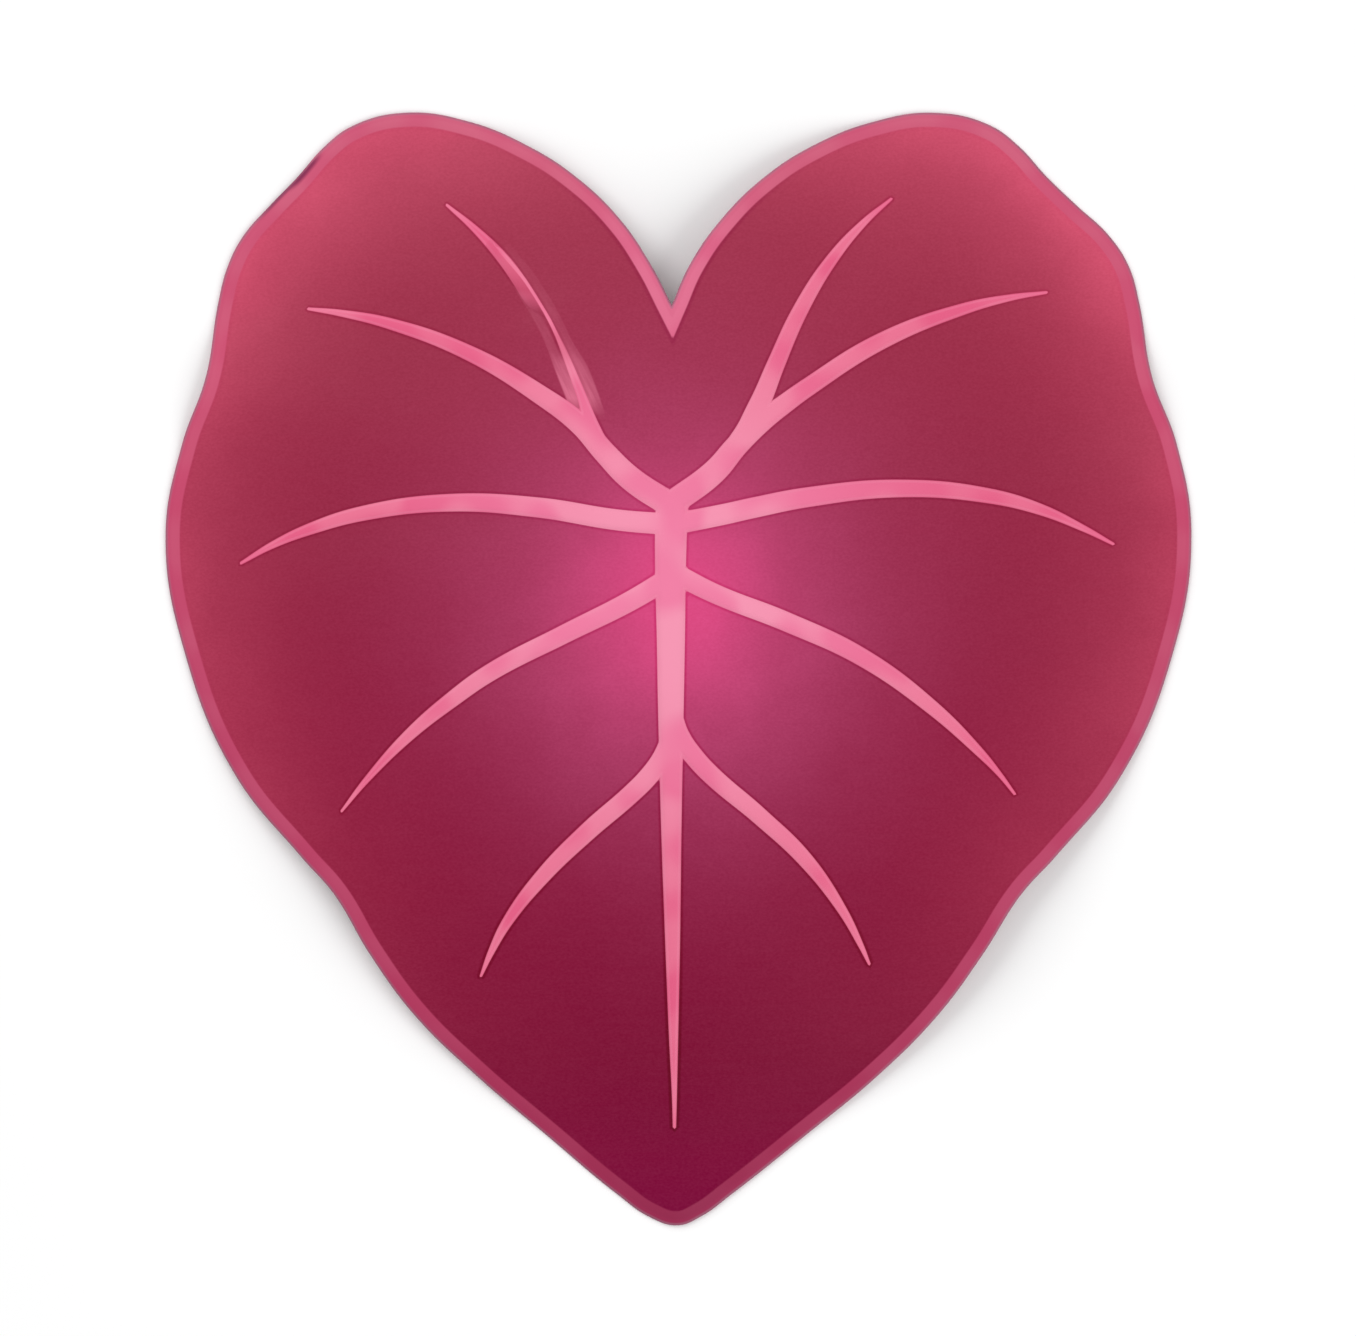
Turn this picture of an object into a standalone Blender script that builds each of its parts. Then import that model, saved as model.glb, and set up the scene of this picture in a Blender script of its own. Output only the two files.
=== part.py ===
"""A heart-shaped taro leaf with raised veins, cut from its stalk and lying face up.

Metres, +Z up. The leaf lies on the plane z = 0 with its tip towards -Y and its two
lobes towards +Y. The origin is on that plane, under the middle of the leaf.
"""
import math

import bmesh
import bpy
import numpy as np
from mathutils import Matrix, Vector
from mathutils.geometry import delaunay_2d_cdt

MM = 0.001

# Driving dimensions
LAMINA = 0.8 * MM            # thickness of the blade between its veins
RIM_WIDTH = 3.4 * MM         # band along the edge, with the vein that runs round the leaf in it
RIM_RELIEF = 0.25 * MM       # how far that vein stands out of each face
HUB_LIFT = 15.0 * MM         # height of the arched blade over the spot where the stalk joins
TOP_RELIEF = 0.24            # height of a vein over the face, as a share of its half width
UNDER_RELIEF = 0.62          # depth of a rib under the back, as a share of its half width
GROOVE_DEPTH = 1.2 * MM      # the blade sinks this far towards a vein
GROOVE_REACH = 9.0 * MM
GROOVE_BLEND = 4.0           # how sharply the deepest of several grooves prevails
FLOOR_BLEND = 1.0 * MM       # how softly the drooping edge flattens on the surface below

# The arch of the blade is an elliptic dome, longer towards the tip
ARCH_MIDDLE = Vector((-1.0, 15.0)) * MM
ARCH_HALF_WIDTH = 110.0 * MM
ARCH_TO_LOBES = 118.0 * MM
ARCH_TO_TIP = 122.0 * MM

# Stalk stub under the hub, where the ribs meet
HUB = Vector((-1.5, 34.0)) * MM
STALK_TOP_RADIUS = 4.2 * MM
STALK_END_RADIUS = 3.4 * MM
STALK_LENGTH = 11.0 * MM
STALK_LEAN = math.radians(20.0)
STALK_SINK = 2.0 * MM        # the stub starts this far under the upper face
BOSS_DEPTH = 4.0 * MM
BOSS_REACH = 7.0 * MM
STALK_SIDES = 16

# Spacing of the mesh points
EDGE_STEP = 5.0 * MM
RIM_GAP = 1.4 * MM           # a rim point is left out if another is nearer than this
VEIN_STEP = 4.5 * MM
VEIN_GAP = 1.3 * MM
VEIN_LINK = 6.8 * MM         # crest points up to this far apart are joined by an edge
VEIN_FLANK = 1.6 * MM        # a vein's side rows of points are never nearer its crest than this
LEAST_HALF_WIDTH = 0.05 * MM
BLADE_STEP = 8.0 * MM
BLADE_GAP = 4.4 * MM
BLADE_EDGE_GAP = 5.4 * MM    # the rows between the veins stop this far from the edge
ROW_ANGLE = math.radians(60.0)
SAME_POINT = 1e-6
CDT_INSIDE = 1               # the triangulation keeps only what lies inside the outline
SHARP_ANGLE = math.radians(40.0)

# Edge of the leaf in millimetres, each side from the notch between the lobes to the tip
NOTCH = (-1.5, 81.4)
TIP = (-0.2, -125.0)
LEFT_EDGE = (
    (-6.1, 90.4), (-13.2, 100.9), (-23.4, 110.7), (-34.0, 117.5), (-47.0, 122.9),
    (-61.5, 124.9), (-73.5, 121.8), (-79.4, 117.4), (-85.7, 110.3), (-91.9, 103.9),
    (-97.7, 97.3), (-101.2, 90.5), (-103.4, 82.0), (-106.1, 65.5), (-111.5, 50.4),
    (-115.2, 30.0), (-110.7, 3.0), (-99.5, -23.8), (-84.4, -42.4), (-77.3, -50.4),
    (-69.2, -64.0), (-59.4, -77.5), (-45.6, -91.1), (-29.4, -104.9), (-13.6, -118.1),
    (-6.5, -123.1))
RIGHT_EDGE = (
    (2.5, 90.5), (9.7, 100.9), (19.5, 110.5), (30.5, 117.6), (43.5, 122.8),
    (57.5, 124.9), (69.9, 122.1), (76.4, 117.4), (82.6, 110.6), (89.5, 104.0),
    (96.5, 97.5), (101.1, 90.5), (103.5, 82.1), (106.3, 65.6), (111.9, 50.5),
    (115.2, 30.0), (110.9, 3.0), (99.4, -24.0), (84.6, -42.1), (76.9, -50.5),
    (68.2, -64.1), (58.3, -77.6), (44.9, -91.2), (29.0, -104.4), (11.8, -118.1),
    (5.2, -122.9))

# Waves of the edge, the same on both sides: direction from the hub in degrees, counted
# from +Y, then the width in degrees and the height in millimetres
WAVES = ((48.0, 9.0, 3.0), (74.0, 9.0, 3.6), (139.0, 13.0, 2.6))

# Each vein's line from root to end: points in millimetres, each with the vein's half width
VEINS = {
    "midrib": (
        (-1.5, 35.0, 3.6), (-1.75, 27.0, 3.5), (-1.7, 7.0, 3.12), (-1.7, -6.8, 2.88),
        (-1.6, -34.7, 2.27), (-1.3, -61.7, 1.62), (-1.1, -82.0, 1.02), (-0.9, -97.0, 0.5),
        (-0.9, -102.9, 0.35)),
    "left_outer_lobe": (
        (-1.5, 36.5, 2.8), (-10.7, 42.6, 2.72), (-16.4, 48.3, 2.5), (-22.0, 54.7, 2.4),
        (-30.4, 61.0, 2.15), (-46.8, 70.7, 1.7), (-64.7, 77.4, 1.25), (-76.0, 79.85, 0.72),
        (-83.1, 80.8, 0.3)),
    "right_outer_lobe": (
        (-1.5, 37.0, 2.8), (8.1, 44.2, 2.7), (13.2, 50.1, 2.5), (19.0, 55.6, 2.3),
        (23.9, 59.4, 2.15), (28.6, 62.8, 2.05), (45.4, 73.4, 1.85), (63.9, 80.7, 1.28),
        (74.5, 83.3, 0.72), (82.6, 84.5, 0.3)),
    "left_inner_lobe": (
        (-17.3, 49.3, 2.0), (-19.5, 54.4, 1.7), (-21.3, 60.0, 1.1), (-23.2, 65.0, 0.88),
        (-25.7, 71.2, 0.64), (-28.0, 76.3, 0.44), (-29.3, 78.6, 0.5), (-30.6, 80.1, 0.86),
        (-32.0, 81.5, 1.34), (-33.2, 83.1, 1.5), (-35.9, 87.3, 1.46), (-39.2, 91.8, 1.31),
        (-45.7, 98.7, 0.76), (-52.0, 104.1, 0.28)),
    "right_inner_lobe": (
        (12.6, 49.6, 2.3), (15.3, 53.4, 2.42), (17.2, 57.2, 2.4), (19.2, 61.7, 2.2),
        (21.7, 67.9, 2.0), (27.5, 80.7, 1.72), (34.4, 91.8, 1.32), (41.6, 100.1, 0.76),
        (47.8, 105.5, 0.28)),
    "left_upper_side": (
        (-1.5, 32.3, 2.4), (-13.5, 33.3, 2.32), (-31.3, 36.1, 2.22), (-51.2, 37.2, 1.95),
        (-70.9, 34.8, 1.64), (-82.5, 31.4, 1.28), (-91.0, 27.8, 0.76), (-98.2, 23.7, 0.3)),
    "right_upper_side": (
        (-1.5, 32.3, 2.4), (10.3, 34.6, 2.3), (17.0, 36.1, 2.28), (28.8, 38.4, 2.2),
        (49.6, 40.4, 1.95), (69.4, 38.8, 1.66), (81.0, 35.8, 1.25), (90.9, 31.5, 0.7),
        (97.6, 28.0, 0.3)),
    "left_lower_side": (
        (-1.5, 20.7, 2.3), (-10.9, 15.1, 2.22), (-26.1, 7.5, 2.07), (-42.1, -0.8, 1.93),
        (-50.5, -6.7, 1.76), (-60.3, -14.8, 1.3), (-69.9, -24.9, 0.67), (-75.5, -31.9, 0.25)),
    "right_lower_side": (
        (-1.5, 21.7, 2.3), (8.2, 16.8, 2.15), (24.0, 10.6, 2.15), (41.1, 2.6, 1.98),
        (56.5, -8.4, 1.6), (67.4, -18.6, 1.0), (72.1, -23.8, 0.54), (75.4, -28.1, 0.28)),
    "left_tip_side": (
        (-1.6, -15.5, 2.2), (-3.8, -20.2, 2.2), (-6.9, -24.3, 2.15), (-10.5, -27.9, 2.12),
        (-20.3, -36.4, 2.02), (-30.3, -46.3, 1.7), (-38.3, -56.6, 1.18), (-42.0, -63.5, 0.7),
        (-44.3, -68.9, 0.25)),
    "right_tip_side": (
        (-0.9, -8.5, 1.3), (0.3, -15.0, 2.2), (3.4, -19.5, 2.15), (7.4, -23.8, 2.1),
        (18.1, -32.9, 1.93), (28.3, -42.6, 1.7), (36.6, -53.9, 1.05), (41.0, -62.2, 0.58),
        (42.8, -66.2, 0.28)),
}

LEAF_COLOUR = (0.34, 0.035, 0.085, 1.0)
LEAF_ROUGHNESS = 0.45


def smooth_line(points, step):
    """Points a step apart along a Bezier curve that runs smoothly through the given ones. A
    vein's half width, its points' third value, changes as smoothly."""
    curve = bpy.data.curves.new("line", "CURVE")
    curve.dimensions = "3D"
    spline = curve.splines.new("BEZIER")
    spline.bezier_points.add(len(points) - 1)
    for knot, point in zip(spline.bezier_points, points):
        knot.co = Vector(point).to_3d() * MM
        knot.handle_left_type = "AUTO"
        knot.handle_right_type = "AUTO"
    guide = bpy.data.objects.new("line", curve)
    bpy.context.scene.collection.objects.link(guide)
    bpy.context.view_layer.update()
    dense = np.array([vertex.co for vertex in guide.to_mesh().vertices])
    guide.to_mesh_clear()
    bpy.data.objects.remove(guide)
    bpy.data.curves.remove(curve)
    lengths = np.linalg.norm(np.diff(dense[:, :2], axis=0), axis=1)
    reach = np.concatenate([[0.0], np.cumsum(lengths)])
    places = np.linspace(0.0, reach[-1], max(2, round(reach[-1] / step) + 1))
    return np.stack([np.interp(places, reach, values) for values in dense.T], axis=1)


def nearest_on_line(points, line):
    """Each point's distance to a line, and where its nearest spot lies from 0 to 1."""
    start = line[:-1]
    run = line[1:] - start
    length = np.linalg.norm(run, axis=1)
    offset = points[:, None, :] - start[None, :, :]
    share = np.clip((offset * run).sum(axis=2) / length ** 2, 0.0, 1.0)
    gap = np.linalg.norm(offset - share[:, :, None] * run, axis=2)
    nearest = gap.argmin(axis=1)
    rows = np.arange(len(points))
    reach = np.concatenate([[0.0], np.cumsum(length)])
    along = reach[nearest] + share[rows, nearest] * length[nearest]
    return gap[rows, nearest], along / reach[-1]


def inside(points, ring):
    """Which points lie inside a closed ring, by counting the sides that each one's ray meets."""
    start = ring
    end = np.roll(ring, -1, axis=0)
    x = points[:, 0][:, None]
    y = points[:, 1][:, None]
    spans = (start[:, 1] > y) != (end[:, 1] > y)
    rise = np.where(end[:, 1] == start[:, 1], 1.0, end[:, 1] - start[:, 1])
    crossing = start[:, 0] + (y - start[:, 1]) / rise * (end[:, 0] - start[:, 0])
    return (spans & (x < crossing)).sum(axis=1) % 2 == 1


def inward_offset(ring, depth):
    """The ring's points moved inwards; the notch, its first point, moves to its mitre."""
    ahead = np.roll(ring, -1, axis=0)
    behind = np.roll(ring, 1, axis=0)
    tangent = ahead - behind
    tangent /= np.linalg.norm(tangent, axis=1)[:, None]
    moved = ring + depth * np.stack([-tangent[:, 1], tangent[:, 0]], axis=1)
    notch_angle = Vector(ring[1] - ring[0]).angle(Vector(ring[-1] - ring[0]))
    moved[0] = ring[0] + np.array([0.0, -depth / math.sin(notch_angle / 2.0)])
    return moved


def leaf_outline(step):
    """The closed edge, anticlockwise as seen from above and starting at the notch."""
    points = (NOTCH,) + LEFT_EDGE + (TIP,) + RIGHT_EDGE[::-1] + (NOTCH,)
    return smooth_line(points, step)[:-1, :2]


def vein_half_width(along, vein):
    """A vein's half width at a share of its length."""
    return np.maximum(np.interp(along, np.linspace(0.0, 1.0, len(vein)), vein[:, 2]), 0.0)


def vein_flanks(vein):
    """Mesh points in a row on each side of a vein's line."""
    line = vein[:, :2]
    tangent = np.gradient(line, axis=0)
    tangent /= np.linalg.norm(tangent, axis=1)[:, None]
    across = np.stack([-tangent[:, 1], tangent[:, 0]], axis=1)
    flank = np.maximum(vein[:, 2], VEIN_FLANK)[:, None]
    return np.concatenate([line + flank * across, line - flank * across])


def spread(sites, points, gap):
    """Add the points that lie at least a gap from every site so far, and give their places."""
    places = []
    for point in points:
        if np.linalg.norm(np.array(sites) - point, axis=1).min() >= gap:
            places.append(len(sites))
            sites.append(point)
    return places


def blade_sites(outline, veins):
    """Mesh points of the blade, and the edges that keep each vein's crest unbroken."""
    sites = list(outline)
    crest_edges = []
    spread(sites, inward_offset(outline, RIM_WIDTH * 0.5), RIM_GAP)
    spread(sites, inward_offset(outline, RIM_WIDTH), RIM_GAP)
    for vein in veins.values():
        crest = spread(sites, vein[:, :2], VEIN_GAP)
        crest_edges += [
            (near, far) for near, far in zip(crest, crest[1:])
            if np.linalg.norm(sites[near] - sites[far]) < VEIN_LINK]
    for vein in veins.values():
        spread(sites, vein_flanks(vein), VEIN_GAP)
    low = outline.min(axis=0)
    high = outline.max(axis=0)
    row_height = BLADE_STEP * math.sin(ROW_ANGLE)
    for count, y in enumerate(np.arange(low[1], high[1], row_height)):
        start = low[0] + BLADE_STEP * 0.5 * (count % 2)
        row = np.array([(x, y) for x in np.arange(start, high[0], BLADE_STEP)])
        depth, _ = nearest_on_line(row, np.vstack([outline, outline[:1]]))
        spread(sites, row[inside(row, outline) & (depth > BLADE_EDGE_GAP)], BLADE_GAP)
    return sites, crest_edges


def vein_shape(points, veins):
    """Relief on the face, rib depth under the back and the groove, at each point."""
    top = np.zeros(len(points))
    under = np.zeros(len(points))
    groove = np.zeros(len(points))
    for vein in veins.values():
        distance, along = nearest_on_line(points, vein[:, :2])
        half = vein_half_width(along, vein)
        swell = np.clip(1.0 - (distance / np.maximum(half, LEAST_HALF_WIDTH)) ** 2, 0.0, 1.0)
        top = np.maximum(top, TOP_RELIEF * half * swell)
        under = np.maximum(under, UNDER_RELIEF * half * swell)
        sink = GROOVE_DEPTH * half / vein[:, 2].max() * np.exp(-(distance / GROOVE_REACH) ** 2)
        groove += sink ** GROOVE_BLEND
    return top, under, groove ** (1.0 / GROOVE_BLEND)


def rim_shape(points, outline):
    """Relief of the vein in the rim, rounded from the edge to the rim's inner line."""
    ring = np.vstack([outline, outline[:1]])
    depth, _ = nearest_on_line(points, ring)
    return RIM_RELIEF * np.clip(1.0 - (depth / (RIM_WIDTH * 0.5) - 1.0) ** 2, 0.0, 1.0)


def blade_height(points, groove):
    """Height of the blade's back over the surface below, before its ribs."""
    out = points - np.array(ARCH_MIDDLE)
    reach = np.where(out[:, 1] > 0.0, ARCH_TO_LOBES, ARCH_TO_TIP)
    arch = HUB_LIFT * (1.0 - (out[:, 0] / ARCH_HALF_WIDTH) ** 2 - (out[:, 1] / reach) ** 2)
    spoke = points - np.array(HUB)
    turn = np.degrees(np.arctan2(np.abs(spoke[:, 0]), spoke[:, 1]))
    outwards = (np.linalg.norm(spoke, axis=1) / ARCH_HALF_WIDTH) ** 4
    wave = np.zeros(len(points))
    for direction, width, height in WAVES:
        wave += height * MM * np.exp(-((turn - direction) / width) ** 2) * outwards
    free = arch + wave - groove
    settling = np.clip(free + FLOOR_BLEND, 0.0, None) ** 2 / (4.0 * FLOOR_BLEND)
    return np.where(free > FLOOR_BLEND, free, settling)


def make_blade():
    """The blade as one closed sheet: a flat sheet of triangles, extruded, then raised.

    Its waves and ribs follow a formula over an outline that no primitive or modifier
    has, so its heights are set point by point, alike on both faces.
    """
    outline = leaf_outline(EDGE_STEP)
    veins = {name: smooth_line(line, VEIN_STEP) for name, line in VEINS.items()}
    sites, crest_edges = blade_sites(outline, veins)
    edge_face = [list(range(len(outline)))]
    flat, _, faces, _, _, _ = delaunay_2d_cdt(
        [Vector(site) for site in sites], crest_edges, edge_face, CDT_INSIDE, SAME_POINT)
    mesh = bmesh.new()
    corners = [mesh.verts.new((x, y, 0.0)) for x, y in flat]
    for face in faces:
        mesh.faces.new([corners[corner] for corner in face])
    mesh.normal_update()
    if mesh.faces[:][0].normal.z > 0.0:
        bmesh.ops.reverse_faces(mesh, faces=mesh.faces[:])
    back = mesh.verts[:]
    grown = bmesh.ops.extrude_face_region(mesh, geom=mesh.faces[:], use_keep_orig=True)
    face_side = [item for item in grown["geom"] if isinstance(item, bmesh.types.BMVert)]
    for corner_group, upper in ((back, False), (face_side, True)):
        places = np.array([corner.co[:2] for corner in corner_group])
        top, under, groove = vein_shape(places, veins)
        rim = rim_shape(places, outline)
        boss = BOSS_DEPTH * np.exp(-(np.linalg.norm(places - np.array(HUB), axis=1) / BOSS_REACH) ** 2)
        height = blade_height(places, groove)
        if upper:
            height = height + LAMINA + rim + top
        else:
            height = np.maximum(height - rim - np.maximum(under, boss), 0.0)
        for corner, z in zip(corner_group, height):
            corner.co.z = z
    bmesh.ops.recalc_face_normals(mesh, faces=mesh.faces[:])
    data = bpy.data.meshes.new("leaf")
    mesh.to_mesh(data)
    mesh.free()
    return bpy.data.objects.new("leaf", data)


def make_stalk_stub():
    """The short piece of stalk left under the hub, leaning towards the tip."""
    mesh = bmesh.new()
    bmesh.ops.create_cone(
        mesh, cap_ends=True, segments=STALK_SIDES, radius1=STALK_END_RADIUS,
        radius2=STALK_TOP_RADIUS, depth=STALK_LENGTH,
        matrix=Matrix.Translation((0.0, 0.0, -STALK_LENGTH / 2.0)))
    data = bpy.data.meshes.new("stalk_stub")
    mesh.to_mesh(data)
    mesh.free()
    stub = bpy.data.objects.new("stalk_stub", data)
    under_face = blade_height(np.array([HUB]), np.array([GROOVE_DEPTH]))[0] + LAMINA - STALK_SINK
    stub.location = (HUB.x, HUB.y, under_face)
    stub.rotation_euler = (-STALK_LEAN, 0.0, 0.0)
    return stub


def join_stub(leaf, stub):
    """Union the stub to the blade, so that the leaf is one body."""
    union = leaf.modifiers.new("stalk", "BOOLEAN")
    union.operation = "UNION"
    union.object = stub
    bpy.context.view_layer.update()
    graph = bpy.context.evaluated_depsgraph_get()
    joined = bpy.data.meshes.new_from_object(leaf.evaluated_get(graph))
    leaf.modifiers.clear()
    blade = leaf.data
    leaf.data = joined
    bpy.data.meshes.remove(blade)
    joined.name = "leaf"
    bpy.data.objects.remove(stub)


def leaf_material():
    """The leaf's crimson face."""
    material = bpy.data.materials.new("leaf_crimson")
    material.use_nodes = True
    shader = material.node_tree.nodes["Principled BSDF"]
    shader.inputs["Base Color"].default_value = LEAF_COLOUR
    shader.inputs["Roughness"].default_value = LEAF_ROUGHNESS
    shader.inputs["Metallic"].default_value = 0.0
    return material


def main():
    for item in list(bpy.data.objects):
        bpy.data.objects.remove(item)
    group = bpy.data.collections.new("taro_leaf")
    bpy.context.scene.collection.children.link(group)
    leaf = make_blade()
    stub = make_stalk_stub()
    group.objects.link(leaf)
    group.objects.link(stub)
    join_stub(leaf, stub)
    leaf.data.materials.clear()
    leaf.data.materials.append(leaf_material())
    leaf.data.shade_smooth()
    leaf.data.set_sharp_from_angle(angle=SHARP_ANGLE)


main()
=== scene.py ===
"""A heart-shaped taro leaf with raised pink veins, cut from its stalk and lying face up.

Metres, +Z up. The leaf lies on the plane z = 0 with its tip towards -Y. Its outline, its
veins and its arch repeat the frame's, and the fine blade follows them exactly.
"""
import math

import bpy
import numpy as np
from bpy.props import FloatProperty, FloatVectorProperty, PointerProperty
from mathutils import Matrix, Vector
from mathutils.geometry import delaunay_2d_cdt


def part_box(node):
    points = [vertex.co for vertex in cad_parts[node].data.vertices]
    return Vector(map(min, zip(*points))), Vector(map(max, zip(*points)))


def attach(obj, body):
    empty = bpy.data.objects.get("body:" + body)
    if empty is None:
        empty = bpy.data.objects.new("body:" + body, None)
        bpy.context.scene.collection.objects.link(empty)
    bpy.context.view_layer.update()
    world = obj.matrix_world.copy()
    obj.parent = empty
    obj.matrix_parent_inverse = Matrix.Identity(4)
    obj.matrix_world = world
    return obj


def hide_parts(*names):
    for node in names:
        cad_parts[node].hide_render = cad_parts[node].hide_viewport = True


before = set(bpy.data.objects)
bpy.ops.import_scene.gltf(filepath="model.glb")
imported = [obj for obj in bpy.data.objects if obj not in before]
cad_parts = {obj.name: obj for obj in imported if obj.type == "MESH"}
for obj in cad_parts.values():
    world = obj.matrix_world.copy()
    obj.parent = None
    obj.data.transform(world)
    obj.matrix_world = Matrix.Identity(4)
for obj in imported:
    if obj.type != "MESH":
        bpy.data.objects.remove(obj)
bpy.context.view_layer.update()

bl_info = {
    "name": "Taro Leaf",
    "version": (1, 0, 0),
    "blender": (4, 5, 0),
    "location": "3D View > Sidebar > Taro Leaf",
    "description": "Models a cut taro leaf with raised veins, and a studio to show it in",
    "category": "Add Mesh",
}

MM = 0.001

# Form of the blade
LAMINA_MM = 0.8
RIM_MM = 3.4                 # width of the pale band along the edge
RIM_RELIEF = 0.25 * MM       # how far the vein in the rim stands out of each face
HUB_LIFT = 15.0 * MM         # height of the arched blade over the spot where the stalk joins
GROOVE_DEPTH = 1.2 * MM      # the blade sinks this far towards a vein
GROOVE_REACH = 9.0 * MM
GROOVE_BLEND = 4.0           # how sharply the deepest of several grooves prevails
RELIEF_BLEND = 6.0           # the same for the relief of veins that meet
FLOOR_BLEND = 1.0 * MM       # how softly the drooping edge flattens on the surface below
ARCH_MIDDLE = Vector((-1.0, 15.0)) * MM
ARCH_HALF_WIDTH = 110.0 * MM
ARCH_TO_LOBES = 118.0 * MM
ARCH_TO_TIP = 122.0 * MM

# Stalk stub under the hub, where the ribs meet
HUB = Vector((-1.5, 34.0)) * MM
STALK_TOP_RADIUS = 4.2 * MM
STALK_END_RADIUS = 3.4 * MM
STALK_LENGTH = 11.0 * MM
STALK_LEAN = math.radians(20.0)
STALK_SINK = 2.0 * MM        # the stub's axis starts this far under the upper face
STALK_SIDES = 40
STALK_RINGS = 7
STALK_INNER_CIRCLE = 0.86    # a second circle of points, as a share of the stub's radius
BOSS_DEPTH = 4.0 * MM
BOSS_REACH = 7.0 * MM
STALK_START = (BOSS_DEPTH - STALK_SINK) / math.cos(STALK_LEAN)  # the axis leaves the back here
STALK_ROOT = np.array(HUB) + np.array([0.0, -STALK_START * math.sin(STALK_LEAN)])  # from above

# Edge of the leaf in millimetres, each side from the notch between the lobes to the tip
NOTCH = (-1.5, 81.4)
TIP = (-0.2, -125.0)
LEFT_EDGE = (
    (-6.1, 90.4), (-13.2, 100.9), (-23.4, 110.7), (-34.0, 117.5), (-47.0, 122.9),
    (-61.5, 124.9), (-73.5, 121.8), (-79.4, 117.4), (-85.7, 110.3), (-91.9, 103.9),
    (-97.7, 97.3), (-101.2, 90.5), (-103.4, 82.0), (-106.1, 65.5), (-111.5, 50.4),
    (-115.2, 30.0), (-110.7, 3.0), (-99.5, -23.8), (-84.4, -42.4), (-77.3, -50.4),
    (-69.2, -64.0), (-59.4, -77.5), (-45.6, -91.1), (-29.4, -104.9), (-13.6, -118.1),
    (-6.5, -123.1))
RIGHT_EDGE = (
    (2.5, 90.5), (9.7, 100.9), (19.5, 110.5), (30.5, 117.6), (43.5, 122.8),
    (57.5, 124.9), (69.9, 122.1), (76.4, 117.4), (82.6, 110.6), (89.5, 104.0),
    (96.5, 97.5), (101.1, 90.5), (103.5, 82.1), (106.3, 65.6), (111.9, 50.5),
    (115.2, 30.0), (110.9, 3.0), (99.4, -24.0), (84.6, -42.1), (76.9, -50.5),
    (68.2, -64.1), (58.3, -77.6), (44.9, -91.2), (29.0, -104.4), (11.8, -118.1),
    (5.2, -122.9))

# Waves of the edge, the same on both sides: direction from the hub in degrees, counted
# from +Y, then the width in degrees and the height in millimetres
WAVES = ((48.0, 9.0, 3.0), (74.0, 9.0, 3.6), (139.0, 13.0, 2.6))

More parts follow.
